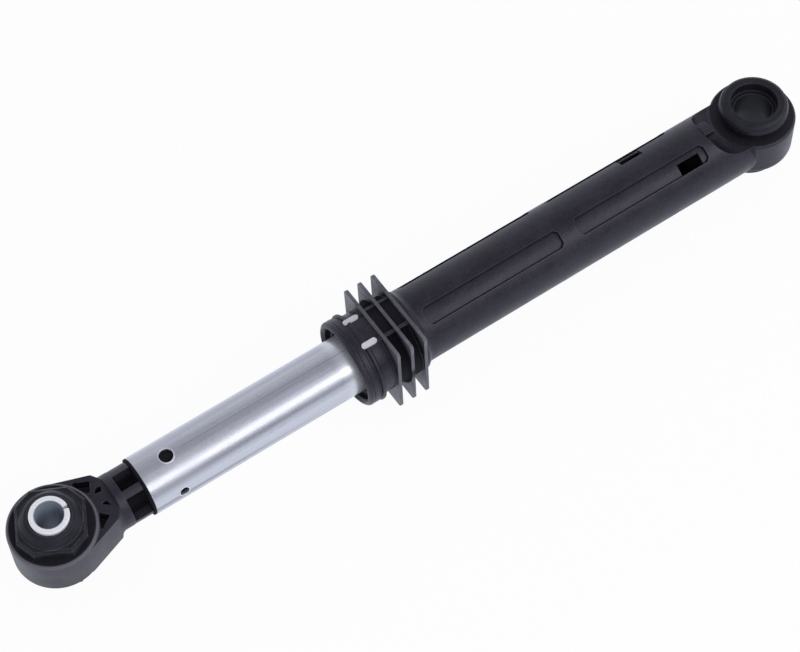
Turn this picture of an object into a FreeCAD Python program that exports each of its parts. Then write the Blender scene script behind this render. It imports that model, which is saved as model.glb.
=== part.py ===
import FreeCAD, Part
import math
import os
import Sketcher

# A friction shock absorber of a washing machine: a black housing with an eye, and a plunger
# whose steel tube slides in it. Millimetres. The origin is the centre of the plunger eye at
# rest, +X runs along the tube to the housing eye and +Z is the housing eye's own axis.
# The plunger is turned a few degrees about the tube, as it stands in the reference.

V = FreeCAD.Vector
doc = FreeCAD.newDocument("washing_machine_shock_absorber")

# Driving sizes, in millimetres and degrees
sheet = doc.addObject("Spreadsheet::Sheet", "sizes")
driving = (
    ("eye_distance", 272.3),
    ("plunger_turn", 5.2),
    ("tube_radius", 10.0),
    ("tube_wall", 1.0),
    ("tube_overlap", 44.0),
    ("tube_hole_upper", 2.35),
    ("tube_hole_lower", 1.6),
    ("tube_hole_x", 10.3),
    ("hole_turn_upper", -2.0),
    ("hole_turn_lower", 79.0),
    ("boss_gap", 0.25),
    ("boss_depth", 1.2),
    ("rolled_depth", 0.7),
    ("rolled_length", 8.8),
    ("edge_break", 0.2),
    ("neck_start", 20.4),
    ("neck_width", 2.7),
    ("neck_step", 0.7),
    ("rail_length", 7.2),
    ("rail_step", 0.8),
    ("rail_core", 4.8),
    ("rail_gap_upper", 40.0),
    ("rail_gap_lower", 61.0),
    ("rail_turn_upper", -6.5),
    ("rail_turn_lower", 61.3),
    ("seat_flange", 0.55),
    ("plug_depth", 22.0),
    ("plug_gap", 0.1),
    ("plunger_eye_radius", 14.24),
    ("plunger_eye_half", 8.85),
    ("plunger_socket", 9.9),
    ("eye_rounding", 1.1),
    ("web_half", 7.5),
    ("web_break", 18.2),
    ("taper_angle", 19.4),
    ("pocket_depth", 4.5),
    ("sleeve_radius", 6.25),
    ("sleeve_bore", 4.55),
    ("sleeve_half", 17.1),
    ("flange_flat", 10.8),
    ("flange_corner", 11.85),
    ("flange_top", 13.1),
    ("flange_turn", -26.0),
    ("flange_bevel", 0.8),
    ("dome_rise", 2.9),
    ("collar_face", 106.2),
    ("collar_ring", 15.25),
    ("collar_band", 15.6),
    ("cup_depth", 3.9),
    ("cup_rise", 3.0),
    ("funnel_depth", 1.1),
    ("closing_ring", 1.2),
    ("mouth_gap", 0.9),
    ("lining_length", 15.7),
    ("lining_rise", 2.6),
    ("carrier_lip", 1.6),
    ("slide_rise", 0.95),
    ("barrel_rise", 4.2),
    ("seat_gap", 0.05),
    ("running_gap", 0.08),
    ("saddle_angle", 49.0),
    ("saddle_rise", 0.75),
    ("slot_turn", 20.5),
    ("slot_reach", 1.75),
    ("slot_half_width", 1.05),
    ("rib_turn", 22.0),
    ("rib_half_width", 0.6),
    ("fin_half_width", 15.25),
    ("fin_half_height", 15.6),
    ("fin_thickness", 1.15),
    ("fin_corner", 0.8),
    ("fin_pitch", 5.08),
    ("housing_radius", 12.93),
    ("recess_depth", 0.9),
    ("recess_turn_front", 28.5),
    ("recess_turn_back", -55.0),
    ("recess_half_front", 3.13),
    ("recess_half_back", 2.69),
    ("recess_bridge", 6.5),
    ("recess_corner", 1.2),
    ("window_turn_front", 33.5),
    ("window_turn_back", -34.0),
    ("window_length", 8.7),
    ("window_half_width", 2.05),
    ("bore_end", 10.65),
    ("bore_end_break", 1.0),
    ("housing_eye_radius", 14.65),
    ("housing_eye_top", 6.6),
    ("housing_eye_bottom", 7.6),
    ("housing_socket", 10.4),
    ("scoop_reach", 7.65),
    ("scoop_fillet", 6.4),
    ("block_angle", 23.0),
    ("block_turn", -4.5),
    ("pin_bore", 6.4),
    ("pin_counterbore", 7.9),
    ("housing_bush_half", 12.94),
)
for row, (alias, value) in enumerate(driving, start=1):
    sheet.set("A%d" % row, alias)
    sheet.set("B%d" % row, str(value))
    sheet.setAlias("B%d" % row, alias)
doc.recompute()


class Size:
    # A number that carries the sheet expression it was worked out from.
    def __init__(self, value, text):
        self.value = value
        self.text = text

    def __add__(self, other):
        other = sized(other)
        return Size(self.value + other.value, "(%s + %s)" % (self.text, other.text))

    def __sub__(self, other):
        other = sized(other)
        return Size(self.value - other.value, "(%s - %s)" % (self.text, other.text))

    def __mul__(self, other):
        other = sized(other)
        return Size(self.value * other.value, "(%s * %s)" % (self.text, other.text))

    def __truediv__(self, other):
        other = sized(other)
        return Size(self.value / other.value, "(%s / %s)" % (self.text, other.text))

    def __neg__(self):
        return Size(-self.value, "(0 - %s)" % self.text)


def sized(number):
    return number if isinstance(number, Size) else Size(float(number), "%.6g" % number)


def cosine(angle):
    return Size(math.cos(math.radians(angle.value)), "cos(%s * 1deg)" % angle.text)


def sine(angle):
    return Size(math.sin(math.radians(angle.value)), "sin(%s * 1deg)" % angle.text)


S = {alias: Size(value, "sizes." + alias) for alias, value in driving}


# Bodies, sketches and the features on them

def new_body(name, turned=False):
    body = doc.addObject("PartDesign::Body", name)
    body.Label = name
    if turned:
        body.Placement = FreeCAD.Placement(V(0, 0, 0), V(1, 0, 0), S["plunger_turn"].value)
        body.setExpression("Placement.Rotation.Angle", S["plunger_turn"].text)
    return body


def origin_item(body, role):
    for item in body.Origin.OriginFeatures:
        if item.Role == role:
            return item
    raise ValueError(role)


def new_sketch(body, name, plane, lift=None, tilt=None):
    # lift moves the sketch along its normal, tilt turns it about its own x axis
    sketch = body.newObject("Sketcher::SketchObject", name)
    sketch.AttachmentSupport = [(origin_item(body, plane), "")]
    sketch.MapMode = "FlatFace"
    base = V(0, 0, 0 if lift is None else sized(lift).value)
    angle = 0 if tilt is None else sized(tilt).value
    sketch.AttachmentOffset = FreeCAD.Placement(base, FreeCAD.Rotation(V(1, 0, 0), angle))
    if lift is not None:
        sketch.setExpression("AttachmentOffset.Base.z", sized(lift).text)
    if isinstance(tilt, Size):
        # the turn is stored about +x or -x, so the bound angle takes that sign
        sign = 1 if sketch.AttachmentOffset.Rotation.Axis.x > 0 else -1
        sketch.setExpression("AttachmentOffset.Rotation.Angle", (tilt * sign).text)
    return sketch


def place(sketch, shape, point, x, y):
    # ties one point of the sketch to its two coordinates
    for kind, axis, size in (("DistanceX", -2, sized(x)), ("DistanceY", -1, sized(y))):
        if abs(size.value) < 1e-9:
            sketch.addConstraint(Sketcher.Constraint("PointOnObject", shape, point, axis))
            continue
        index = sketch.addConstraint(Sketcher.Constraint(kind, -1, 1, shape, point, size.value))
        sketch.setExpression("Constraints[%d]" % index, size.text)


def polygon(sketch, points):
    corners = [V(sized(x).value, sized(y).value, 0) for x, y in points]
    count = len(corners)
    first = sketch.GeometryCount
    for i in range(count):
        sketch.addGeometry(Part.LineSegment(corners[i], corners[(i + 1) % count]), False)
    for i in range(count):
        after = first + (i + 1) % count
        sketch.addConstraint(Sketcher.Constraint("Coincident", first + i, 2, after, 1))
    for i, (x, y) in enumerate(points):
        place(sketch, first + i, 1, x, y)
    return sketch


def ring(sketch, x, y, radius):
    radius = sized(radius)
    centre = V(sized(x).value, sized(y).value, 0)
    shape = sketch.addGeometry(Part.Circle(centre, V(0, 0, 1), radius.value), False)
    place(sketch, shape, 3, x, y)
    index = sketch.addConstraint(Sketcher.Constraint("Radius", shape, radius.value))
    sketch.setExpression("Constraints[%d]" % index, radius.text)
    return sketch


def slot(sketch, start, end, half_width, y=0):
    # a round ended slot along x between two end centres
    start, end, half_width, y = sized(start), sized(end), sized(half_width), sized(y)
    up = V(0, half_width.value, 0)
    left, right = V(start.value, y.value, 0), V(end.value, y.value, 0)
    quarter = math.pi / 2
    n = V(0, 0, 1)
    first = sketch.GeometryCount
    arc_a = Part.ArcOfCircle(Part.Circle(left, n, half_width.value), quarter, 3 * quarter)
    arc_b = Part.ArcOfCircle(Part.Circle(right, n, half_width.value), -quarter, quarter)
    lower, upper = Part.LineSegment(left - up, right - up), Part.LineSegment(right + up, left + up)
    for shape in (arc_a, arc_b, lower, upper):
        sketch.addGeometry(shape, False)
    for a, end_a, b, end_b in ((0, 2, 2, 1), (2, 2, 1, 1), (1, 2, 3, 1), (3, 2, 0, 1)):
        sketch.addConstraint(Sketcher.Constraint("Tangent", first + a, end_a, first + b, end_b))
    sketch.addConstraint(Sketcher.Constraint("Equal", first, first + 1))
    place(sketch, first, 3, start, y)
    place(sketch, first + 1, 3, end, y)
    index = sketch.addConstraint(Sketcher.Constraint("Radius", first, half_width.value))
    sketch.setExpression("Constraints[%d]" % index, half_width.text)
    return sketch


def drum(sketch, radius, half_height):
    # a circle cut flat at the top and at the bottom, starting at the lower left corner
    radius, half_height = sized(radius), sized(half_height)
    half = math.sqrt(radius.value ** 2 - half_height.value ** 2)
    lift = math.atan2(half_height.value, half)
    n = V(0, 0, 1)
    centre = Part.Circle(V(0, 0, 0), n, radius.value)
    low, high = V(half, -half_height.value, 0), V(half, half_height.value, 0)
    shapes = (
        Part.LineSegment(V(-half, -half_height.value, 0), low),
        Part.ArcOfCircle(centre, -lift, lift),
        Part.LineSegment(high, V(-half, half_height.value, 0)),
        Part.ArcOfCircle(centre, math.pi - lift, math.pi + lift),
    )
    for shape in shapes:
        sketch.addGeometry(shape, False)
    for i in range(4):
        sketch.addConstraint(Sketcher.Constraint("Coincident", i, 2, (i + 1) % 4, 1))
    for arc in (1, 3):
        sketch.addConstraint(Sketcher.Constraint("Coincident", arc, 3, -1, 1))
    sketch.addConstraint(Sketcher.Constraint("Horizontal", 0))
    sketch.addConstraint(Sketcher.Constraint("Horizontal", 2))
    for kind, shape, size in (("Radius", 1, radius), ("Radius", 3, radius)):
        index = sketch.addConstraint(Sketcher.Constraint(kind, shape, size.value))
        sketch.setExpression("Constraints[%d]" % index, size.text)
    for shape, size in ((0, -half_height), (2, half_height)):
        index = sketch.addConstraint(Sketcher.Constraint("DistanceY", -1, 1, shape, 1, size.value))
        sketch.setExpression("Constraints[%d]" % index, size.text)
    return sketch


def feature(body, kind, name, sketch, length=None, **settings):
    item = body.newObject("PartDesign::" + kind, name)
    item.Profile = sketch
    for key, value in settings.items():
        setattr(item, key, value)
    if length is not None:
        item.Length = sized(length).value
        item.setExpression("Length", sized(length).text)
    body.Tip = item
    doc.recompute()
    return item


def lathe(body, kind, name, sketch, axis="H_Axis", angle=360):
    # turns the profile about an axis of its sketch; part turns are centred on the sketch
    item = body.newObject("PartDesign::" + kind, name)
    item.Profile = sketch
    item.ReferenceAxis = (sketch, [axis])
    item.Midplane = sized(angle).value < 360
    item.Angle = sized(angle).value
    if isinstance(angle, Size):
        item.setExpression("Angle", angle.text)
    body.Tip = item
    doc.recompute()
    return item


def around(body, name, originals, count, angle=360):
    item = body.newObject("PartDesign::PolarPattern", name)
    item.Originals = originals
    item.Axis = (origin_item(body, "X_Axis"), [""])
    item.Angle = angle
    item.Occurrences = count
    body.Tip = item
    doc.recompute()
    return item


def mirrored(body, name, originals, plane):
    item = body.newObject("PartDesign::Mirrored", name)
    item.Originals = originals
    item.MirrorPlane = (origin_item(body, plane), [""])
    body.Tip = item
    doc.recompute()
    return item


def arc_points(cx, cy, radius, start, end, steps):
    # corners of a fine polygon along an arc
    for i in range(steps + 1):
        turn = math.radians(start + (end - start) * i / steps)
        yield cx + radius * round(math.cos(turn), 6), cy + radius * round(math.sin(turn), 6)


def cut_corners(wide, high, cut, x=0):
    # a rectangle centred at x with its four corners cut off
    near, away, low, top = -wide + x, wide + x, -high, high
    return [
        (near + cut, low), (away - cut, low), (away, low + cut), (away, top - cut),
        (away - cut, top), (near + cut, top), (near, top - cut), (near, low + cut),
    ]


def upright(sketch, x):
    # a construction line parallel to the sketch's second axis, to turn profiles about
    line = sketch.addGeometry(Part.LineSegment(V(x.value, -30, 0), V(x.value, 30, 0)), True)
    sketch.addConstraint(Sketcher.Constraint("Vertical", line))
    place(sketch, line, 1, x, -30)
    sketch.addConstraint(Sketcher.Constraint("DistanceY", -1, 1, line, 2, 30.0))
    return sketch


# Sizes that several pieces share
tube = S["tube_radius"]
tube_start = S["neck_start"] + S["neck_width"] + S["rail_length"]
tube_end = S["collar_face"] + S["tube_overlap"]
tube_bore = tube - S["tube_wall"]
neck_radius = tube - S["neck_step"]
rail_radius = tube - S["rail_step"]
plug_radius = tube_bore - S["plug_gap"]
barrel_radius = tube + S["barrel_rise"]
lining_bore = tube + S["lining_rise"]
slide_bore = tube + S["slide_rise"]
cup_radius = tube + S["cup_rise"]
carrier_start = S["collar_face"] + S["cup_depth"]
carrier_end = carrier_start + S["lining_length"] + S["carrier_lip"] * 2
far = S["eye_distance"]
slot_centre = carrier_start + S["slot_reach"] + S["slot_half_width"] + 0.1
tube_holes = (
    (S["hole_turn_upper"], S["tube_hole_upper"]),
    (S["hole_turn_lower"], S["tube_hole_lower"]),
)
hole_x = tube_start + S["tube_hole_x"]
slot_turns = (-S["slot_turn"], S["slot_turn"])

# Housing: one turned outline from the mouth to the eye
housing = new_body("housing_moulding")
face = S["collar_face"]
ring_top = S["collar_ring"]
band_top = S["collar_band"]
fins_end = carrier_end - 1.2
fins_start = fins_end - S["fin_pitch"] * 2
eye_edge = far - S["housing_eye_radius"]
bore_end = eye_edge - S["bore_end"]
outline = [
    (face, cup_radius + 0.8),
    (face, ring_top - 1.25),
    (face + 0.25, ring_top - 0.75),
    (face + 0.75, ring_top - 0.2),
    (face + 1.3, ring_top),
    (face + 1.7, ring_top - 0.05),
    (face + 1.95, ring_top - 0.4),
    (face + 2.2, ring_top - 0.05),
    (face + 3.7, ring_top - 0.05),
    (face + 4.0, ring_top - 0.5),
    (face + 4.1, barrel_radius + 0.3),
    (face + 4.8, barrel_radius + 0.3),
    (face + 4.95, band_top - 0.3),
    (face + 5.3, band_top),
    (face + 5.9, band_top),
    (face + 6.25, band_top - 0.4),
    (face + 6.45, barrel_radius),
    (carrier_end + 1.0, barrel_radius),
    (carrier_end + 2.2, S["housing_radius"] + 0.25),
    (carrier_end + 3.0, S["housing_radius"]),
    (eye_edge + 7.0, S["housing_radius"]),
    (eye_edge + 7.0, 0),
    (face, 0),
]
sketch = polygon(new_sketch(housing, "housing_outline", "XZ_Plane"), outline)
lathe(housing, "Revolution", "housing_barrel", sketch)

# Saddle round the slots, on the top and underneath
sketch = new_sketch(housing, "saddle_outline", "XZ_Plane")
saddle = [
    (face + 3.0, barrel_radius - 0.5),
    (face + 3.0, ring_top - 0.3),
    (face + 6.9, barrel_radius + S["saddle_rise"]),
    (fins_end + 0.9, barrel_radius + S["saddle_rise"]),
    (fins_end + 1.1, barrel_radius - 0.5),
]
item = lathe(housing, "Revolution", "saddle", polygon(sketch, saddle), angle=S["saddle_angle"])
around(housing, "saddles", [item], 2)

# Ribs that run between the fins beside the saddles
ribs = []
for turn in (-S["rib_turn"], S["rib_turn"]):
    sketch = new_sketch(housing, "rib_outline", "XY_Plane", tilt=turn)
    start, end, wide = slot_centre + 3.2, fins_end + 1.0, S["rib_half_width"]
    polygon(sketch, [(start, -wide), (end, -wide), (end, wide), (start, wide)])
    ribs.append(feature(housing, "Pad", "rib", sketch, band_top))
around(housing, "ribs", ribs, 2)

# Scoops that free both faces of the eye from the end of the barrel
sketch = upright(new_sketch(housing, "scoop_outline", "XZ_Plane"), far)
floor, fillet = S["housing_eye_top"], S["scoop_fillet"]
reach = eye_edge - S["scoop_reach"]
scoop = [(far, floor), (reach + fillet, floor)]
scoop += list(arc_points(reach + fillet, floor + fillet, fillet, 262, 186, 9))
scoop += [(reach, floor + fillet * 2), (far, floor + fillet * 2)]
item = lathe(housing, "Groove", "scoop", polygon(sketch, scoop), axis="Axis0")
mirrored(housing, "scoops", [item], "XY_Plane")

# Eye of the housing, a disc with broken edges turned about its own axis
sketch = upright(new_sketch(housing, "eye_outline", "XZ_Plane"), far)
eye = S["housing_eye_radius"]
low, high = S["housing_eye_bottom"], S["housing_eye_top"]
disc = [
    (far, -low),
    (far + eye - 0.9, -low),
    (far + eye - 0.25, -low + 0.7),
    (far + eye, -low + 1.7),
    (far + eye, high - 0.9),
    (far + eye - 0.25, high - 0.3),
    (far + eye - 0.8, high),
    (far, high),
]
lathe(housing, "Revolution", "housing_eye", polygon(sketch, disc), axis="Axis0")

# Small block on the rim of the upper scoop
sketch = new_sketch(housing, "block_outline", "XZ_Plane", tilt=S["block_turn"])
block = [
    (eye_edge - 7.4, S["housing_radius"] - 2.9),
    (eye_edge - 7.4, S["housing_radius"] + 0.2),
    (eye_edge - 3.9, S["housing_radius"] + 0.05),
    (eye_edge - 3.1, S["housing_radius"] - 2.9),
]
lathe(housing, "Revolution", "rim_block", polygon(sketch, block), angle=S["block_angle"])

# Three square fins
sketch = new_sketch(housing, "fin_outline", "YZ_Plane", lift=fins_start)
polygon(sketch, cut_corners(S["fin_half_width"], S["fin_half_height"], S["fin_corner"]))
fin = feature(housing, "Pad", "fin", sketch, S["fin_thickness"], Midplane=True)
row = housing.newObject("PartDesign::LinearPattern", "fins")
row.Originals = [fin]
row.Direction = (origin_item(housing, "X_Axis"), [""])
row.Occurrences = 3
row.Length = S["fin_pitch"].value * 2
row.setExpression("Length", (S["fin_pitch"] * 2).text)
housing.Tip = row
doc.recompute()

# Inside: the funnel, the cup, the seat of the lining and the long bore of the guide ring
sketch = new_sketch(housing, "bore_outline", "XZ_Plane")
bore = [
    (face - S["funnel_depth"], 0),
    (face - S["funnel_depth"], cup_radius + 1.6),
    (face + S["funnel_depth"], cup_radius),
    (carrier_start, cup_radius),
    (carrier_start, lining_bore),
    (carrier_end, lining_bore),
    (carrier_end, slide_bore),
    (bore_end, slide_bore),
    (bore_end + S["bore_end_break"], slide_bore - S["bore_end_break"]),
    (bore_end + S["bore_end_break"], 0),
]
lathe(housing, "Groove", "housing_bore", polygon(sketch, bore))

# Slots for the lugs of the carrier, two on the top and two underneath
slots = []
for turn in slot_turns:
    sketch = new_sketch(housing, "slot_outline", "XY_Plane", tilt=turn)
    slot(sketch, slot_centre - S["slot_reach"], slot_centre + S["slot_reach"], S["slot_half_width"])
    slots.append(feature(housing, "Pocket", "slot_cut", sketch, band_top + 2.0, Reversed=True))
around(housing, "slot_cuts", slots, 2)

# Windows near the eye, each with its copy on the far side
windows = []
for turn, gap in ((S["window_turn_front"], 21.85), (S["window_turn_back"], 36.85)):
    sketch = new_sketch(housing, "window_outline", "XY_Plane", tilt=turn)
    start, end, wide = eye_edge - gap, eye_edge - gap + S["window_length"], S["window_half_width"]
    polygon(sketch, [(start, -wide), (end, -wide), (end, wide), (start, wide)])
    reach = S["housing_radius"] + 2.0
    windows.append(feature(housing, "Pocket", "window_cut", sketch, reach, Reversed=True))
around(housing, "window_cuts", windows, 2)

# Socket of the bush
sketch = ring(new_sketch(housing, "socket_outline", "XY_Plane"), far, 0, S["housing_socket"])
feature(housing, "Pocket", "socket", sketch, low * 4, Midplane=True)

# Long shallow recesses: prisms in two rows, kept only near the skin of the barrel
prisms = new_body("recess_prisms")
near_start, far_end = carrier_end + 5.0, bore_end
middle = (near_start + far_end) / 2
half_bridge = S["recess_bridge"] / 2
core = [(near_start + 1, 0), (near_start + 1, 6), (far_end - 6, 6), (far_end - 6, 0)]
lathe(prisms, "Revolution", "prism_core", polygon(new_sketch(prisms, "core_outline", "XZ_Plane"), core))
pads = []
rows = (
    (S["recess_turn_front"], S["recess_half_front"], middle, far_end),
    (S["recess_turn_back"], S["recess_half_back"], middle - 1.4, far_end - 5.0),
)
for turn, wide, bridge, last in rows:
    for start, end in ((near_start, bridge - half_bridge), (bridge + half_bridge, last)):
        sketch = new_sketch(prisms, "prism_outline", "XY_Plane", tilt=turn)
        polygon(sketch, cut_corners((end - start) / 2, wide, S["recess_corner"], (start + end) / 2))
        pads.append(feature(prisms, "Pad", "prism", sketch, S["housing_radius"] + 2.0))
around(prisms, "prism_rows", pads, 2)
skin = new_body("recess_skin")
inner = S["housing_radius"] - S["recess_depth"]
outer = S["housing_radius"] + 1.0
band = [(near_start - 1, inner), (far_end + 1, inner), (far_end + 1, outer), (near_start - 1, outer)]
lathe(skin, "Revolution", "skin_layer", polygon(new_sketch(skin, "skin_outline", "XZ_Plane"), band))
recesses = doc.addObject("Part::MultiCommon", "recesses")
recesses.Shapes = [skin, prisms]
shell = doc.addObject("Part::Cut", "housing")
shell.Base = housing
shell.Tool = recesses
shell.Label = "housing"
doc.recompute()

# Closing ring in the mouth
mouth = new_body("mouth_ring")
sketch = new_sketch(mouth, "mouth_ring_outline", "XZ_Plane")
front = carrier_start - S["closing_ring"]
mouth_bore = tube + S["mouth_gap"]
washer = [
    (front, mouth_bore + 0.15),
    (front - 0.15, mouth_bore + 0.5),
    (front, cup_radius - S["seat_gap"]),
    (carrier_start, cup_radius - S["seat_gap"]),
    (carrier_start, mouth_bore),
    (front + 0.2, mouth_bore),
]
lathe(mouth, "Revolution", "mouth_ring_body", polygon(sketch, washer))

# Carrier of the lining, with its lugs
carrier = new_body("lining_carrier")
sketch = new_sketch(carrier, "carrier_outline", "XZ_Plane")
seat_start, seat_end = carrier_start + S["carrier_lip"], carrier_end - S["carrier_lip"]
carrier_bore = tube + 0.4
seat_bore = tube + 1.7
sleeve = [
    (carrier_start, carrier_bore),
    (carrier_start, lining_bore - S["seat_gap"]),
    (carrier_end, lining_bore - S["seat_gap"]),
    (carrier_end, carrier_bore),
    (seat_end, carrier_bore),
    (seat_end, seat_bore),
    (seat_start, seat_bore),
    (seat_start, carrier_bore),
]
lathe(carrier, "Revolution", "carrier_sleeve", polygon(sketch, sleeve))
lugs = []
for turn in slot_turns:
    sketch = new_sketch(carrier, "lug_outline", "XY_Plane", tilt=turn)
    wide = S["slot_half_width"] - S["seat_gap"]
    slot(sketch, slot_centre - S["slot_reach"], slot_centre + S["slot_reach"], wide)
    lugs.append(feature(carrier, "Pad", "lug", sketch, band_top - S["seat_gap"]))
around(carrier, "lugs", lugs, 2)
sketch = new_sketch(carrier, "seat_outline", "XZ_Plane")
seat = [(face, 0), (face, carrier_bore), (seat_start, carrier_bore), (seat_start, seat_bore)]
seat += [(seat_end, seat_bore), (seat_end, carrier_bore)]
seat += [(carrier_end + 1, carrier_bore), (carrier_end + 1, 0)]
lathe(carrier, "Groove", "seat", polygon(sketch, seat))

# Friction lining
lining = new_body("friction_lining")
sketch = new_sketch(lining, "lining_outline", "XZ_Plane")
soft = [
    (seat_start, tube + S["running_gap"]),
    (seat_start, seat_bore - S["seat_gap"]),
    (seat_end, seat_bore - S["seat_gap"]),
    (seat_end, tube + S["running_gap"]),
]
lathe(lining, "Revolution", "lining_body", polygon(sketch, soft))

# Steel tube of the plunger with a rolled seat for the guide ring at its inner end
rod = new_body("rod_tube", turned=True)
sketch = new_sketch(rod, "tube_outline", "XZ_Plane")
edge = S["edge_break"]
roll = S["rolled_depth"]
roll_end = tube_end - 1.6
roll_start = roll_end - S["rolled_length"]
rolled = [
    (tube_start, tube_bore),
    (tube_start, tube - edge),
    (tube_start + edge, tube),
    (roll_start - 0.8, tube),
    (roll_start, tube - roll),
    (roll_end, tube - roll),
    (roll_end + 0.8, tube),
    (tube_end - edge, tube),
    (tube_end, tube - edge),
    (tube_end, tube_bore - roll),
    (roll_start - 0.2, tube_bore - roll),
    (roll_start - 1.0, tube_bore),
]
lathe(rod, "Revolution", "tube_wall_body", polygon(sketch, rolled))
holes = []
for turn, wide in tube_holes:
    sketch = new_sketch(rod, "hole_outline", "XY_Plane", tilt=turn)
    ring(sketch, hole_x, 0, wide)
    holes.append(feature(rod, "Pocket", "hole", sketch, tube + 2.0, Reversed=True))
around(rod, "holes", holes, 2)

# Guide ring, split so that it snaps over the flared end
guide = new_body("guide_ring")
sketch = new_sketch(guide, "guide_outline", "XZ_Plane")
ring_start, ring_end = roll_start + 0.3, roll_end - 0.3
ring_bore = tube - roll + S["running_gap"]
ring_outer = slide_bore - S["running_gap"]
band = [
    (ring_start, ring_bore),
    (ring_start, ring_outer - 0.32),
    (ring_start + 0.3, ring_outer),
    (ring_end - 0.3, ring_outer),
    (ring_end, ring_outer - 0.32),
    (ring_end, ring_bore),
]
lathe(guide, "Revolution", "guide_band", polygon(sketch, band))
sketch = new_sketch(guide, "split_outline", "XY_Plane")
split = [(ring_start - 1, -2.0), (ring_end + 1, 1.2), (ring_end + 1, 2.0), (ring_start - 1, -1.2)]
feature(guide, "Pocket", "split", polygon(sketch, split), slide_bore + 2.0)

# Cap of the plunger: the eye disc first
cap = new_body("rod_cap", turned=True)
eye = S["plunger_eye_radius"]
half = S["plunger_eye_half"]
web = S["web_half"]
soft_edge = S["eye_rounding"]
sketch = new_sketch(cap, "cap_eye_outline", "XZ_Plane")
disc = [
    (0, -half),
    (eye - 1.0, -half),
    (eye, -half + 1.95),
    (eye, half - soft_edge),
    (eye - soft_edge * 0.3, half - soft_edge * 0.3),
    (eye - soft_edge, half),
    (0, half),
]
lathe(cap, "Revolution", "cap_eye", polygon(sketch, disc), axis="V_Axis")

# Tapered web, tangent to the eye
start_x = eye * sine(S["taper_angle"])
start_y = eye * cosine(S["taper_angle"])
slope = sine(S["taper_angle"]) / cosine(S["taper_angle"])
break_y = start_y - (S["web_break"] - start_x) * slope
sketch = new_sketch(cap, "web_plan", "XY_Plane")
plan = [
    (start_x, -start_y),
    (S["web_break"], -break_y),
    (S["web_break"], break_y),
    (start_x, start_y),
]
feature(cap, "Pad", "web", polygon(sketch, plan), web * 2, Midplane=True)

# Loft from the rectangular end of the web to the flat topped round neck
sketch = new_sketch(cap, "web_end", "YZ_Plane", lift=S["web_break"])
polygon(sketch, [(-break_y, -web), (break_y, -web), (break_y, web), (-break_y, web)])
end = drum(new_sketch(cap, "neck_end", "YZ_Plane", lift=S["neck_start"]), neck_radius, web)
blend = cap.newObject("PartDesign::AdditiveLoft", "web_to_neck")
blend.Profile = sketch
blend.Sections = [end]
blend.Ruled = False
blend.Closed = False
cap.Tip = blend
doc.recompute()

# Neck, rails, seat flange and plug, turned about the tube's axis
sketch = new_sketch(cap, "neck_outline", "XZ_Plane")
plug_end = tube_start + S["plug_depth"]
neck_end = S["neck_start"] + S["neck_width"]
flange_start = tube_start - S["seat_flange"]
turned = [
    (S["neck_start"], 0),
    (S["neck_start"], neck_radius),
    (neck_end - 0.3, neck_radius),
    (neck_end, rail_radius),
    (flange_start, rail_radius),
    (flange_start, tube - S["seat_gap"]),
    (tube_start, tube - S["seat_gap"]),
    (tube_start, plug_radius),
    (plug_end - 2.0, plug_radius),
    (plug_end, plug_radius - 1.2),
    (plug_end, 0),
]
lathe(cap, "Revolution", "neck", polygon(sketch, turned))
gaps = []
for turn, wide in (
    (S["rail_turn_upper"], S["rail_gap_upper"]),
    (S["rail_turn_lower"], S["rail_gap_lower"]),
):
    sketch = new_sketch(cap, "rail_gap_outline", "XZ_Plane", tilt=turn)
    gap = [
        (neck_end, S["rail_core"]),
        (flange_start, S["rail_core"]),
        (flange_start, tube),
        (neck_end, tube),
    ]
    gaps.append(lathe(cap, "Groove", "rail_gap", polygon(sketch, gap), angle=wide))
around(cap, "rail_gaps", gaps, 2)

# Snap bosses that stand in the holes of the tube
bosses = []
for turn, wide in tube_holes:
    sketch = new_sketch(cap, "boss_outline", "XY_Plane", tilt=turn)
    ring(sketch, hole_x, 0, wide - S["boss_gap"])
    bosses.append(feature(cap, "Pad", "boss", sketch, tube - S["boss_depth"]))
around(cap, "bosses", bosses, 2)

# Lightening pockets in both faces of the web, placed from the edge of the eye
pockets = []
corners = (
    ((-0.24, 3.9), (0.96, 3.6), (2.76, 7.1), (-1.84, 9.3), (-2.64, 8.9)),
    ((1.66, 2.4), (4.06, 2.1), (4.86, 3.6), (3.36, 4.2)),
    ((1.86, -1.6), (3.86, -1.2), (4.36, -3.6)),
    ((-0.14, -3.6), (2.36, -6.1), (-1.74, -8.9), (-2.54, -8.7)),
)
for pocket in corners:
    sketch = new_sketch(cap, "web_pocket_outline", "XY_Plane", lift=web)
    polygon(sketch, [(eye + x, y) for x, y in pocket])
    pockets.append(feature(cap, "Pocket", "web_pocket", sketch, S["pocket_depth"]))
mirrored(cap, "web_pockets", pockets, "XY_Plane")

# Socket of the rubber bush
sketch = ring(new_sketch(cap, "cap_socket_outline", "XY_Plane"), 0, 0, S["plunger_socket"])
feature(cap, "Pocket", "cap_socket", sketch, half * 4, Midplane=True)

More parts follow.
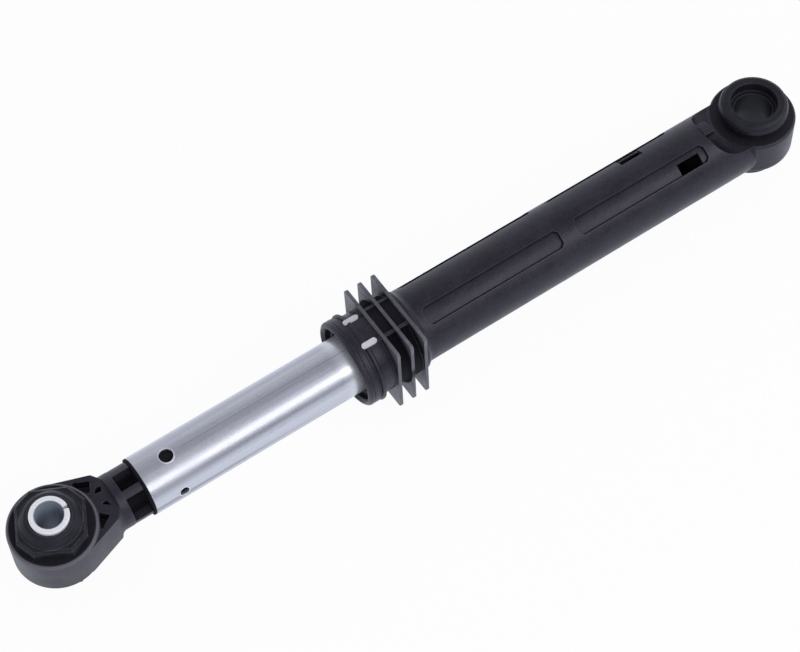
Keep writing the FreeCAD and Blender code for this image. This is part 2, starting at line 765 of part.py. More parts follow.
# Rubber bush of the plunger eye: a domed turned body with an eight sided flange on both faces
bush = new_body("plunger_bush", turned=True)
bush_radius = S["plunger_socket"] - S["seat_gap"]
top = S["flange_top"]
dome = top + S["dome_rise"]
grip = S["sleeve_radius"]
sketch = new_sketch(bush, "bush_outline", "XZ_Plane")
upper = [
    (bush_radius, top),
    (grip + 2.3, dome - 1.1),
    (grip + 1.4, dome - 0.3),
    (grip + 0.6, dome),
    (grip + 0.4, dome - 0.15),
    (grip + 0.3, dome - 0.8),
    (grip, dome - 0.8),
]
lower = [(x, -z) for x, z in reversed(upper)]
lathe(bush, "Revolution", "bush_body", polygon(sketch, upper + lower), axis="V_Axis")
flat = S["flange_flat"]
corner = S["flange_corner"] * math.sqrt(2) - flat
corners = ((flat, corner), (corner, flat), (-corner, flat), (-flat, corner))
corners += ((-flat, -corner), (-corner, -flat), (corner, -flat), (flat, -corner))
cos_turn, sin_turn = cosine(S["flange_turn"]), sine(S["flange_turn"])
ends = [(x * cos_turn - y * sin_turn, x * sin_turn + y * cos_turn) for x, y in corners]
sketch = polygon(new_sketch(bush, "flange_outline", "XY_Plane", lift=half), ends)
ring(sketch, 0, 0, grip)
pad = feature(bush, "Pad", "flange", sketch, top - half)
bevel = bush.newObject("PartDesign::Chamfer", "flange_edge")
rim_edges = []
for i, edge in enumerate(bush.Shape.Edges, start=1):
    straight = isinstance(edge.Curve, Part.Line) and edge.Length > 2.0
    local = bush.Placement.inverse().multVec(edge.CenterOfMass)
    if straight and abs(local.z - top.value) < 0.01:
        rim_edges.append("Edge%d" % i)
bevel.Base = (pad, rim_edges)
bevel.Size = S["flange_bevel"].value
bevel.setExpression("Size", S["flange_bevel"].text)
bush.Tip = bevel
doc.recompute()
mirrored(bush, "flanges", [pad, bevel], "XY_Plane")

# Split steel sleeve for the bolt
sleeve_body = new_body("plunger_sleeve", turned=True)
sketch = new_sketch(sleeve_body, "sleeve_outline", "XZ_Plane")
hole = S["sleeve_bore"]
long = S["sleeve_half"]
edge = S["edge_break"]
wall = [
    (hole, -long + edge),
    (hole + edge, -long),
    (grip - edge, -long),
    (grip, -long + edge),
    (grip, long - edge),
    (grip - edge, long),
    (hole + edge, long),
    (hole, long - edge),
]
lathe(sleeve_body, "Revolution", "sleeve_wall", polygon(sketch, wall), axis="V_Axis")
sketch = new_sketch(sleeve_body, "slit_outline", "XY_Plane")
polygon(sketch, [(hole - 0.6, -0.6), (grip + 0.5, -1.55), (grip + 0.5, 0.1), (hole - 0.6, -0.15)])
feature(sleeve_body, "Pocket", "slit", sketch, long * 3, Midplane=True)

# Rubber bush of the housing eye, open for the pin
far_bush = new_body("housing_bush")
sketch = upright(new_sketch(far_bush, "housing_bush_outline", "XZ_Plane"), far)
tall = S["housing_bush_half"]
pin = S["pin_bore"]
wide_pin = S["pin_counterbore"]
socket = S["housing_socket"] - S["seat_gap"]
rim = S["housing_socket"] + 1.4


def flank(seat):
    # one half of the section, from the pin bore out and back in to the seat on the eye
    return [
        (pin, tall - 3.9),
        (wide_pin, tall - 3.9),
        (wide_pin, tall - 0.3),
        (wide_pin + 0.3, tall),
        (rim - 1.7, tall),
        (rim - 0.7, tall - 0.6),
        (rim - 0.1, tall - 1.9),
        (rim, tall - 3.3),
        (rim - 0.9, tall - 4.1),
        (rim - 1.0, seat),
        (socket, seat),
    ]


upper = flank(S["housing_eye_top"])
lower = [(x, -z) for x, z in reversed(flank(S["housing_eye_bottom"]))]
polygon(sketch, [(far + x, z) for x, z in upper + lower])
lathe(far_bush, "Revolution", "housing_bush_body", sketch, axis="Axis0")

doc.recompute()
nodes = [shell, mouth, carrier, lining, rod, guide, cap, bush, sleeve_body, far_bush]
for item in doc.Objects:
    if "Invalid" in item.State or "Error" in item.State:
        raise RuntimeError("%s failed: %s" % (item.Name, item.State))
for node in nodes:
    if node.Shape.isNull() or not node.Shape.isValid():
        raise RuntimeError("bad shape: " + node.Label)
    solids = len(node.Shape.Solids)
    box = node.Shape.BoundBox
    print("%-16s solids %d volume %9.1f x %.2f %.2f z %.2f %.2f" % (
        node.Label, solids, node.Shape.Volume, box.XMin, box.XMax, box.ZMin, box.ZMax))
os.makedirs("parts", exist_ok=True)
for node in nodes:
    node.Shape.exportStep("parts/%s.step" % node.Label)
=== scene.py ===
import math

import bpy
import numpy as np
from mathutils import Matrix, Vector


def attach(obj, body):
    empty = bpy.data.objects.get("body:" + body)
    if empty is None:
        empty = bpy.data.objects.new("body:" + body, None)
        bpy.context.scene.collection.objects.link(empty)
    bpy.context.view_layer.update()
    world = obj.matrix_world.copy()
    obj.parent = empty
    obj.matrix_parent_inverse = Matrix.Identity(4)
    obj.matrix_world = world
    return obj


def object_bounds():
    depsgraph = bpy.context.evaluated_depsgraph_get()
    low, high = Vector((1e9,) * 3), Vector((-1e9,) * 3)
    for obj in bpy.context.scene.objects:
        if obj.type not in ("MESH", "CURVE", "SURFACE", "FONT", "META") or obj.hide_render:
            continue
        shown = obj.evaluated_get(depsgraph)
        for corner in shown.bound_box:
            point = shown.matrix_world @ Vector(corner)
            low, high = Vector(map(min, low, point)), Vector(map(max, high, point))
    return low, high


# Washer damper: black moulded housing, zinc plated tube, rubber bushes in both eyes

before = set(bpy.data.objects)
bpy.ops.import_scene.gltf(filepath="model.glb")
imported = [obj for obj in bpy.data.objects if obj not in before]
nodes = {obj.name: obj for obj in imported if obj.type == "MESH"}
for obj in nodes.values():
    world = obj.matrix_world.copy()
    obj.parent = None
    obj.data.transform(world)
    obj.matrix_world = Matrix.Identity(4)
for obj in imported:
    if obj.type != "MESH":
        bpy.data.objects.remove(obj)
cadBox = [list(corner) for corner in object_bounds()]
plungerTurn = math.radians(5.2)   # the plunger stands turned about the tube
housingEyeX = 0.2723
tubeRadius = 0.0100
tubeHoles = {   # turn about the tube and radius of each hole
    "along": 0.0406, "holes": ((math.radians(-2.0), 0.00235), (math.radians(79.0), 0.0016)),
}
noiseSpan = (0.3, 0.7)   # most values of a noise lie between these
print("frame loaded,", len(nodes), "nodes")


# Node helpers

def startMaterial(name):
    mat = bpy.data.materials.new(name)
    mat.use_nodes = True
    tree = mat.node_tree
    tree.nodes.clear()
    out = tree.nodes.new("ShaderNodeOutputMaterial")
    shader = tree.nodes.new("ShaderNodeBsdfPrincipled")
    tree.links.new(shader.outputs["BSDF"], out.inputs["Surface"])
    return mat, tree, shader


def feed(tree, socket, value):
    # a socket takes either a plain value or another node's output
    if isinstance(value, bpy.types.NodeSocket):
        tree.links.new(value, socket)
    else:
        socket.default_value = value


def maths(tree, operation, first, *others):
    # a sine or a root takes one value; several values go through the operation one after the other
    for value in others or (0.0,):
        item = tree.nodes.new("ShaderNodeMath")
        item.operation = operation
        feed(tree, item.inputs[0], first)
        feed(tree, item.inputs[1], value)
        first = item.outputs[0]
    return first


def times(tree, *factors):
    return maths(tree, "MULTIPLY", *factors)


def strongest(tree, *masks):
    return maths(tree, "MAXIMUM", *masks)


def ramp(tree, value, low, high, toLow=0.0, toHigh=1.0):
    # a smooth step from one number to the other
    item = tree.nodes.new("ShaderNodeMapRange")
    item.interpolation_type = "SMOOTHSTEP"
    for socket, number in zip(item.inputs, (value, low, high, toLow, toHigh)):
        feed(tree, socket, number)
    return item.outputs[0]


def fadeOut(tree, value, low, high):
    return ramp(tree, value, low, high, 1.0, 0.0)


def between(tree, value, start, end, fade):
    # one from start to end, with a short smooth step just past each
    return times(tree, ramp(tree, value, start, start + fade), fadeOut(tree, value, end, end + fade))


def offLine(tree, value, line):
    # how far a value is from a line, on either side
    return maths(tree, "ABSOLUTE", maths(tree, "SUBTRACT", value, line))


def objectPlace(tree, turn=0.0, centre=(0, 0, 0), scale=(1, 1, 1)):
    # Object coordinates, moved to a centre, turned about the tube and stretched
    coords = tree.nodes.new("ShaderNodeTexCoord")
    spot = tree.nodes.new("ShaderNodeMapping")
    spot.vector_type = "TEXTURE"
    spot.inputs["Location"].default_value = centre
    spot.inputs["Rotation"].default_value = (turn, 0, 0)
    tree.links.new(coords.outputs["Object"], spot.inputs["Vector"])
    if scale == (1, 1, 1):
        return spot.outputs[0]
    stretch = tree.nodes.new("ShaderNodeMapping")
    stretch.inputs["Scale"].default_value = scale
    tree.links.new(spot.outputs[0], stretch.inputs["Vector"])
    return stretch.outputs[0]


def splitPlace(tree, place):
    item = tree.nodes.new("ShaderNodeSeparateXYZ")
    tree.links.new(place, item.inputs[0])
    return item.outputs


def distance(tree, a, b):
    # root of the sum of two squares
    squares = (maths(tree, "POWER", a, 2.0), maths(tree, "POWER", b, 2.0))
    return maths(tree, "SQRT", maths(tree, "ADD", *squares))


def turnAbout(tree, y, z):
    # angle about the tube, from +Z towards the viewer
    return maths(tree, "ARCTAN2", times(tree, y, -1.0), z)


def noise(tree, place, scale, detail, rough):
    item = tree.nodes.new("ShaderNodeTexNoise")
    tree.links.new(place, item.inputs["Vector"])
    item.inputs["Scale"].default_value = scale
    item.inputs["Detail"].default_value = detail
    item.inputs["Roughness"].default_value = rough
    return item.outputs[0]


def mixTone(tree, factor, a, b):
    item = tree.nodes.new("ShaderNodeMix")
    item.data_type = "RGBA"
    feed(tree, item.inputs[0], factor)
    feed(tree, item.inputs[6], a)
    feed(tree, item.inputs[7], b)
    return item.outputs[2]


cornerLook = {"samples": 6, "wornAndLit": (0.985, 0.80)}   # cosine at which the corners' wear and painted highlight start and are full


def roundedNormal(tree, radius):
    item = tree.nodes.new("ShaderNodeBevel")
    item.samples = cornerLook["samples"]
    feed(tree, item.inputs["Radius"], radius)
    return item.outputs[0]


def edgeMask(tree, rounded):
    # one where the rounded normal leaves the flat one, at the corners
    geometry = tree.nodes.new("ShaderNodeNewGeometry")
    dot = tree.nodes.new("ShaderNodeVectorMath")
    dot.operation = "DOT_PRODUCT"
    tree.links.new(geometry.outputs["True Normal"], dot.inputs[0])
    tree.links.new(rounded, dot.inputs[1])
    return ramp(tree, dot.outputs["Value"], *cornerLook["wornAndLit"])


def bump(tree, height, depth, normal=None):
    item = tree.nodes.new("ShaderNodeBump")
    item.inputs["Strength"].default_value = 1.0
    item.inputs["Distance"].default_value = depth
    tree.links.new(height, item.inputs["Height"])
    if normal is not None:
        tree.links.new(normal, item.inputs["Normal"])
    return item.outputs[0]


def tone(r, g, b):
    return (r, g, b, 1.0)


# Moulded black plastic: housing, closing ring and cap

def hollowShadeMask(tree, along, radius, look):
    # painted shade: one inside each hollow, which is a stretch of the axis and a radius about it
    mask = 0.0
    for start, end, limit in look["hollows"]:
        part = times(tree, between(tree, along, start, end, look["fade"]),
                     fadeOut(tree, radius, limit - look["hollowFade"], limit))
        mask = strongest(tree, part, mask)
    return mask


def plateDistance(tree, x, radius, angle, plates, cut):
    # signed distance to the nearest of some oblong plates on the barrel, and on its far side too:
    # the largest overshoot along the tube, across it and at the cut corners
    nearest = 1.0
    for turn, start, end, half in plates:
        sideways = times(tree, radius, maths(tree, "SINE", maths(tree, "SUBTRACT", angle, turn)))
        across = maths(tree, "SUBTRACT", maths(tree, "ABSOLUTE", sideways), half)
        along = maths(tree, "SUBTRACT", offLine(tree, x, (start + end) / 2), (end - start) / 2)
        corner = times(tree, maths(tree, "ADD", across, along, cut), math.sqrt(0.5))
        nearest = maths(tree, "MINIMUM", strongest(tree, across, along, corner), nearest)
    return nearest


def finEdges(tree, look, x, y, z):
    # painted highlight along the narrow sides of the square fins: the larger overshoot of y and z over the
    # half sizes
    start, wide, high = look["fins"]
    over = strongest(tree, maths(tree, "SUBTRACT", maths(tree, "ABSOLUTE", y), wide),
                     maths(tree, "SUBTRACT", maths(tree, "ABSOLUTE", z), high))
    return times(tree, ramp(tree, over, *look["finFade"], 0.0, look["finHighlight"]),
                 ramp(tree, x, start, start + look["fade"]), fadeOut(tree, x, *look["highlightEnd"]))


def eyeMasks(tree, look, x, y, z):
    # by the distance from the eye's axis and the height: a painted highlight on a ring at the eye's upper
    # corner, and painted shade on the ledge inside it and on the wall of the scoop
    reach = distance(tree, maths(tree, "SUBTRACT", x, look["eyeX"]), y)
    rim = times(tree, ramp(tree, reach, *look["rimIn"]), fadeOut(tree, reach, *look["rimOut"]),
                ramp(tree, z, *look["rimUp"]), look["rimHighlight"])
    shade = times(tree, fadeOut(tree, reach, *look["ledgeIn"]), ramp(tree, z, *look["ledgeUp"]),
                  fadeOut(tree, reach, *look["ledgeOut"]), look["ledgeShade"])
    if look["scoopWallShade"]:
        near, left, up, front, strength = look["scoopWallShade"]
        wall = times(tree, fadeOut(tree, reach, *near), fadeOut(tree, x, *left),
                     ramp(tree, z, *up, 0.0, strength), ramp(tree, y, *front))
        shade = strongest(tree, shade, wall)
    return rim, shade


def mouldedPlastic(name, look):
    # tone: two blacks by the mean of a cloudy, a mottled and a fine noise; greyer at the corners by wear and
    # painted highlight; painted highlight far out on the fins, along their narrow sides, at the eye's rim and
    # just outside each recess; painted shade, near black, in the hollows and window openings, just inside
    # each recess, on the eye's ledge and the scoop's wall
    # relief: fine spark grain over corners rounded by a small radius, finer along the barrel
    mat, tree, shader = startMaterial(name)
    place = objectPlace(tree, look["turn"])
    x, y, z = splitPlace(tree, place)
    radius = distance(tree, y, z)
    angle = turnAbout(tree, y, z)
    cloud = noise(tree, place, *look["cloud"])
    mottle = noise(tree, place, *look["mottle"])
    grain = noise(tree, place, *look["grain"])
    wearAndGlintNoise = noise(tree, objectPlace(tree, scale=look["wearAndGlintStretch"]), *look["wearAndGlintNoise"])
    start, end, fine = look["fineStretch"]
    onBarrel = between(tree, x, start, end, look["fade"])
    rounded = roundedNormal(tree, ramp(tree, onBarrel, 0.0, 1.0, look["edge"], fine))
    # corners paler by wear and painted highlight
    wearAndHighlight = times(tree, edgeMask(tree, rounded), ramp(tree, wearAndGlintNoise, *look["wearSpan"]), look["wearAndHighlight"])
    blotch = times(tree, maths(tree, "ADD", cloud, mottle, grain), 1 / 3)
    base = mixTone(tree, ramp(tree, blotch, *look["blotch"]), look["dark"], look["light"])
    base = mixTone(tree, wearAndHighlight, base, look["wornAndLit"])
    # painted shade, near black: in the hollows, then just inside each recess, over the window openings, on
    # the eye's ledge and the scoop's wall
    paintedShade = hollowShadeMask(tree, x, radius, look)
    skin = ramp(tree, radius, *look["skin"])
    # along each recess: a painted highlight just outside its edge, painted shade just inside it
    for plates, full, fade in look["recesses"]:
        away = plateDistance(tree, x, radius, angle, plates, look["recessCut"])
        pale = fadeOut(tree, offLine(tree, away, look["paleLine"]), *look["paleFade"])
        base = mixTone(tree, times(tree, pale, skin, look["paleShineShare"]), base, look["wornAndLit"])
        recessEdgeShade = ramp(tree, offLine(tree, away, look["grooveLine"]), full, fade, look["grooveShade"], 0.0)
        paintedShade = strongest(tree, paintedShade, times(tree, recessEdgeShade, skin))
    # painted shade over the window openings
    if look["windows"]:
        away = plateDistance(tree, x, radius, angle, look["windows"], 0.0)
        window = fadeOut(tree, away, *look["windowFade"])
        window = times(tree, window, fadeOut(tree, radius, *look["windowSkin"]))
        paintedShade = strongest(tree, paintedShade, window)
    # painted highlight far out from the axis and along the fins' narrow sides, broken up by a noise
    outerHighlight = times(tree, ramp(tree, radius, *look["highlightReach"]), fadeOut(tree, x, *look["highlightEnd"]))
    if look["fins"]:
        outerHighlight = strongest(tree, outerHighlight, finEdges(tree, look, x, y, z))
    base = mixTone(tree, times(tree, outerHighlight, ramp(tree, wearAndGlintNoise, *look["highlightSpan"])), base, look["highlightTone"])
    # painted highlight on the eye's rim; painted shade on its ledge and on the scoop's wall
    rim, shade = eyeMasks(tree, look, x, y, z)
    base = mixTone(tree, rim, base, look["wornAndLit"])
    paintedShade = strongest(tree, paintedShade, shade)
    feed(tree, shader.inputs["Base Color"], mixTone(tree, paintedShade, base, look["paintedShadeTone"]))
    rough = ramp(tree, cloud, *noiseSpan, *look["rough"])
    rough = maths(tree, "ADD", rough, times(tree, grain, look["grainRough"]))
    rough = strongest(tree, rough, times(tree, paintedShade, look["hollowRough"]))
    feed(tree, shader.inputs["Roughness"], rough)
    feed(tree, shader.inputs["Normal"], bump(tree, grain, look["grainHeight"], rounded))
    shader.inputs["IOR"].default_value = look["ior"]
    shader.inputs["Specular IOR Level"].default_value = look["level"]
    shader.inputs["Specular Tint"].default_value = look["tint"]
    return mat


frontTurn, backTurn = math.radians(28.5), math.radians(-55.0)   # where the two rows of recesses face

housingLook = {
    # tones: two blacks, a grey for the corners' wear and painted highlight, a near black for painted shade
    # and a grey for painted highlight far out and on the fins
    "dark": tone(0.0078, 0.0072, 0.0112), "light": tone(0.0165, 0.0154, 0.0225),
    "wornAndLit": tone(0.145, 0.14, 0.16), "paintedShadeTone": tone(0.001, 0.001, 0.0015),
    "highlightTone": tone(0.145, 0.145, 0.165), "tint": tone(0.87, 0.83, 1.0), "level": 0.45, "ior": 1.5,
    "rough": (0.27, 0.39), "grainRough": 0.06, "hollowRough": 0.95,
    "turn": 0.0, "edge": 0.00035, "fineStretch": (0.1320, 0.2480, 0.00014), "fade": 0.0002,
    # noises: scale, detail and roughness of each
    "cloud": (90, 4.0, 0.6), "mottle": (520, 3.0, 0.6), "grain": (1700, 3.0, 0.65), "wearAndGlintNoise": (900, 3.0, 0.7),
    "wearAndGlintStretch": (0.25, 1, 1), "blotch": (0.41, 0.59), "grainHeight": 0.00008,
    # wear and painted highlight of the corners, painted highlight on the fins; fins: where they start, half
    # width and half height
    "wearAndHighlight": 0.75, "wearSpan": (0.35, 0.7, 0.35, 1.0), "highlightSpan": (*noiseSpan, 0.7, 1.0),
    "highlightReach": (0.0152, 0.0205), "highlightEnd": (0.1300, 0.1310),
    "fins": (0.1166, 0.01525, 0.0156), "finFade": (-0.0004, -0.0001), "finHighlight": 0.6,
    # eye: its axis, then where each fade starts and ends, outwards (in, out) or upwards (up); painted
    # highlight on the rim, painted shade on the ledge
    "eyeX": housingEyeX, "rimIn": (0.0143, 0.0147), "rimOut": (0.0151, 0.0157), "rimUp": (0.0058, 0.0064),
    "rimHighlight": 0.1, "ledgeIn": (0.0143, 0.0146), "ledgeOut": (0.0160, 0.0170), "ledgeUp": (0.0064, 0.0067),
    "ledgeShade": 0.95,
    # painted shade on the scoop's wall: fades outwards, along x, upwards and to the front, then its strength
    "scoopWallShade": ((0.0152, 0.0160), (housingEyeX - 0.0090, housingEyeX - 0.0070), (0.0, 0.0020),
                  (-0.0030, -0.0060), 0.7),
    # recesses, by rows: turn, start, end and half width of each, then how wide the painted shade line just
    # inside is
    "recesses": (
        (((frontTurn, 0.13400, 0.18725, 0.00313), (frontTurn, 0.19375, 0.24700, 0.00313)), 0.00008, 0.00022),
        (((backTurn, 0.13400, 0.18585, 0.00269), (backTurn, 0.19235, 0.24200, 0.00269)), 0.00020, 0.00050)),
    "recessCut": 0.0012, "skin": (0.0116, 0.0118), "grooveLine": -0.00008, "grooveShade": 0.9,
    "paleLine": 0.00022, "paleFade": (0.00006, 0.00020), "paleShineShare": 0.12,
    # painted shade over each window: turn, start, end and half width; the far one spreads over the recess
    # floor beside it
    "windows": ((math.radians(33.5), 0.23580, 0.24450, 0.00205),
                (math.radians(-38.2), 0.22080, 0.22950, 0.00291)),
    "windowFade": (0.00006, 0.00012), "windowSkin": (0.01280, 0.01288),
    # hollows, painted near black as shade: start, end and radius of each
    "hollows": ((0.1100, 0.2484, 0.0122), (0.1070, 0.1110, 0.0133), (0.1184, 0.1270, 0.0157)),
    "hollowFade": 0.0006,
}
plainLook = dict(housingLook, recesses=(), windows=(), fins=(), scoopWallShade=())
ringLook = dict(plainLook, rough=(0.38, 0.50), hollows=((0.1000, 0.1095, 0.0115),))
capLook = dict(plainLook, rough=(0.30, 0.42), level=0.5, turn=plungerTurn, edge=0.0004,
               fineStretch=(0.0182, 0.0600, 0.0002), highlightEnd=(-0.100, -0.099), eyeX=0.0,
               rimIn=(0.0131, 0.0137), rimOut=(0.0141, 0.0147), rimUp=(0.0074, 0.0080), rimHighlight=0.75,
               ledgeIn=(0.0131, 0.0134), ledgeOut=(0.0132, 0.0142), ledgeUp=(0.0080, 0.0083), ledgeShade=0.9,
               hollows=((0.0302, 0.0600, 0.0200), (0.0234, 0.0292, 0.0070), (0.0292, 0.0305, 0.0106)))


# Steel: tube and sleeve

def streakMask(tree, angle, x, streaks, core):
    # the strongest of some streaks along the tube: each is full near its own angle, fades across it
    # and grows to its strength along x
    mask = 0.0
    for turn, half, start, end, strength in streaks:
        turn, half = math.radians(turn), math.radians(half)
        across = fadeOut(tree, offLine(tree, angle, turn), half * core, half)
        mask = strongest(tree, times(tree, across, ramp(tree, x, start, end, 0.0, strength)), mask)
    return mask


def holeMask(tree, angle, x, width):
    # one out to the edge of each hole: the distance from its axis is taken along x and, by the sine
    # of the angle, across the tube
    mask = 0.0
    for turn, radius in tubeHoles["holes"]:
        sideways = times(tree, maths(tree, "SINE", maths(tree, "SUBTRACT", angle, turn)), tubeRadius)
        away = distance(tree, sideways, maths(tree, "SUBTRACT", x, tubeHoles["along"]))
        mask = strongest(tree, fadeOut(tree, away, radius, radius + width), mask)
    return mask


def drawnSteel(name, look):
    # tone: zinc grey with faint streaks along the tube, grey specks and stains, paler and darker bands along
    # the tube that are painted reflection, a weld line, bright hole edges and a dull pale end under the
    # collar that is painted light over the collar's dark reflection
    # relief: streaks, zinc grain, the weld line and a soft rise round each hole, calmer at the dull end
    mat, tree, shader = startMaterial(name)
    place = objectPlace(tree, plungerTurn)
    x, y, z = splitPlace(tree, place)
    angle = turnAbout(tree, y, z)
    streak = noise(tree, objectPlace(tree, plungerTurn, scale=look["streakStretch"]), *look["streaks"])
    fine = noise(tree, objectPlace(tree, plungerTurn, scale=look["fineStretch"]), *look["fine"])
    speckle = noise(tree, place, *look["speckle"])
    stain = noise(tree, place, *look["stains"])
    # the weld line, and the pale and dark bands along the tube, which are painted reflection
    seam, pale, dark = (streakMask(tree, angle, x, look[key], look["markCore"])
                        for key in ("lines", "paintedShineBands", "paintedDarkBands"))
    rim = holeMask(tree, angle, x, look["rimWidth"])
    base = mixTone(tree, ramp(tree, streak, *noiseSpan), look["dark"], look["light"])
    base = mixTone(tree, ramp(tree, speckle, *look["speckSpan"]), base, look["grey"])
    base = mixTone(tree, ramp(tree, stain, *look["stainSpan"]), base, look["stain"])
    # painted reflection: pale bands in the hole edges' tone, dark bands in the weld line's tone
    base = mixTone(tree, pale, base, look["rim"])
    base = mixTone(tree, dark, base, look["seam"])
    # painted light on the end under the collar, over its dark reflection; it is less metallic there too
    base = mixTone(tree, ramp(tree, x, *look["paintedEndSpan"]), base, look["paintedEndLight"])
    base = mixTone(tree, seam, base, look["seam"])
    base = mixTone(tree, times(tree, rim, look["rimShare"]), base, look["rim"])
    feed(tree, shader.inputs["Base Color"], base)
    feed(tree, shader.inputs["Metallic"], ramp(tree, x, *look["metal"]))
    rough = ramp(tree, fine, *noiseSpan, *look["rough"])
    feed(tree, shader.inputs["Roughness"], maths(tree, "ADD", rough, ramp(tree, stain, *look["stainRough"])))
    reliefs = (fine, streak, seam, rim)
    height = maths(tree, "ADD", *(times(tree, part, rise) for part, rise in zip(reliefs, look["rises"])))
    height = times(tree, height, ramp(tree, x, *look["dullRelief"]))
    feed(tree, shader.inputs["Normal"], bump(tree, height, look["height"], roundedNormal(tree, look["edge"])))
    return mat


def turnedSteel(name, look):
    # tone: pale plated face, dull grey inside the bore as painted shade
    # relief: faint turning rings, a sine of the distance from the bolt's axis, and fine specks
    mat, tree, shader = startMaterial(name)
    place = objectPlace(tree, plungerTurn)
    x, y = splitPlace(tree, place)[:2]
    radius = distance(tree, x, y)
    rings = maths(tree, "SINE", times(tree, radius, look["ringRate"]))
    speck = noise(tree, place, *look["specks"])
    base = mixTone(tree, ramp(tree, speck, *look["speckSpan"]), look["light"], look["dark"])
    # painted shade inside the bore
    base = mixTone(tree, fadeOut(tree, radius, *look["boreReach"]), base, look["bore"])
    feed(tree, shader.inputs["Base Color"], base)
    shader.inputs["Metallic"].default_value = look["metal"]
    feed(tree, shader.inputs["Roughness"], ramp(tree, speck, *noiseSpan, *look["rough"]))
    height = maths(tree, "ADD", times(tree, rings, look["ringHeight"]), speck)
    feed(tree, shader.inputs["Normal"], bump(tree, height, look["height"], roundedNormal(tree, look["edge"])))
    return mat


tubeLook = {
    # the weld line's tone also serves the dark bands of painted reflection, the hole edges' tone the pale
    # ones
    "dark": tone(0.475, 0.485, 0.545), "light": tone(0.59, 0.60, 0.66), "grey": tone(0.40, 0.41, 0.46),
    "stain": tone(0.51, 0.51, 0.53), "seam": tone(0.25, 0.25, 0.28), "rim": tone(0.85, 0.86, 0.90),
    "paintedEndLight": tone(0.72, 0.73, 0.78), "rough": (0.265, 0.295), "rimWidth": 0.0006, "rimShare": 0.8,
    "edge": 0.0002,
    # noises: scale, detail and roughness of each; spans: the noise's range, then what it turns into
    "streaks": (1.0, 5.0, 0.65), "streakStretch": (14, 700, 700), "fine": (1.0, 4.0, 0.7),
    "fineStretch": (500, 1500, 1500), "speckle": (1100, 3.0, 0.65), "stains": (70, 4.0, 0.6),
    "speckSpan": (0.5, 0.75, 0.0, 0.5), "stainSpan": (0.52, 0.75, 0.0, 0.4),
    "stainRough": (0.4, 0.7, 0.0, 0.06),
    # relief: its depth, then the share of the fine grain, the streaks, the weld line and the rims
    "height": 0.000004, "rises": (1.2, 0.5, 1.5, 10.0),
    # the end under the collar, paler and less metallic as painted light over the collar's dark reflection:
    # start and end of each change along the tube, from one value to another
    "paintedEndSpan": (0.1000, 0.1040, 0.0, 0.85), "metal": (0.1040, 0.1055, 0.86, 0.55),
    "dullRelief": (0.0980, 0.1040, 1.0, 0.15),
    # marks: the weld line, then pale and dark bands of painted reflection; turn and half width in degrees,
    # start and end of the growth along x, strength
    "lines": ((-1.7, 1.3, 0.0435, 0.0470, 0.5),),
    "paintedDarkBands": ((88.0, 8.0, 0.1150, 0.0480, 0.62), (-34.0, 9.0, 0.0100, 0.0200, 0.12)),
    "paintedShineBands": ((80.0, 24.0, 0.0100, 0.0200, 0.4), (-68.0, 26.0, 0.0100, 0.0200, 0.55)),
    "markCore": 0.4,
}
sleeveLook = {
    "light": tone(0.97, 0.97, 0.99), "dark": tone(0.84, 0.84, 0.88), "bore": tone(0.37, 0.42, 0.49),
    "rough": (0.44, 0.56), "metal": 0.3, "edge": 0.0002, "specks": (1800, 3.0, 0.6), "speckSpan": (0.35, 0.7),
    "boreReach": (0.0046, 0.0048), "ringRate": 2 * math.pi / 0.0002, "ringHeight": 0.3, "height": 0.000015,
}


# Rubber bushes

def mouldedRubber(name, look):
    # tone: two soft blacks by a cloudy noise, paler along the corners by wear and painted highlight
    # relief: moulding rings, a sine of the distance from the eye's axis, and a matt grain
    mat, tree, shader = startMaterial(name)
    place = objectPlace(tree, look["turn"], look["centre"])
    x, y = splitPlace(tree, place)[:2]
    rings = maths(tree, "SINE", times(tree, distance(tree, x, y), look["ringRate"]))
    cloud = noise(tree, place, *look["cloud"])
    grain = noise(tree, place, *look["grain"])
    rounded = roundedNormal(tree, look["edge"])
    base = mixTone(tree, ramp(tree, cloud, *look["cloudSpan"]), look["dark"], look["light"])
    # corners paler by wear and painted highlight
    base = mixTone(tree, times(tree, edgeMask(tree, rounded), look["wearAndHighlight"]), base, look["wornAndLit"])
    feed(tree, shader.inputs["Base Color"], base)
    feed(tree, shader.inputs["Roughness"], ramp(tree, cloud, *noiseSpan, *look["rough"]))
    height = maths(tree, "ADD", times(tree, rings, look["ringHeight"]), grain)
    feed(tree, shader.inputs["Normal"], bump(tree, height, look["height"], rounded))
    shader.inputs["Specular IOR Level"].default_value = look["level"]
    shader.inputs["Specular Tint"].default_value = look["tint"]
    return mat


plungerRubberLook = {
    "dark": tone(0.0075, 0.0073, 0.0108), "light": tone(0.0135, 0.0132, 0.0185),
    # the pale corner tone and its share: wear and painted highlight
    "wornAndLit": tone(0.17, 0.17, 0.195), "wearAndHighlight": 0.8, "rough": (0.37, 0.49), "edge": 0.0004,
    "turn": plungerTurn, "centre": (0, 0, 0),
    "level": 0.3, "tint": tone(0.86, 0.85, 1.0), "cloud": (160, 4.0, 0.6), "cloudSpan": (0.35, 0.65),
    "grain": (2200, 3.0, 0.6), "height": 0.00003, "ringRate": 2 * math.pi / 0.0011, "ringHeight": 1.2,
}
housingRubberLook = dict(plungerRubberLook, turn=0.0, centre=(housingEyeX, 0, 0), ringHeight=0.3, edge=0.0005,
                         wearAndHighlight=0.3)


# Pieces inside: the carrier with its pale lugs, the felt lining and the guide ring

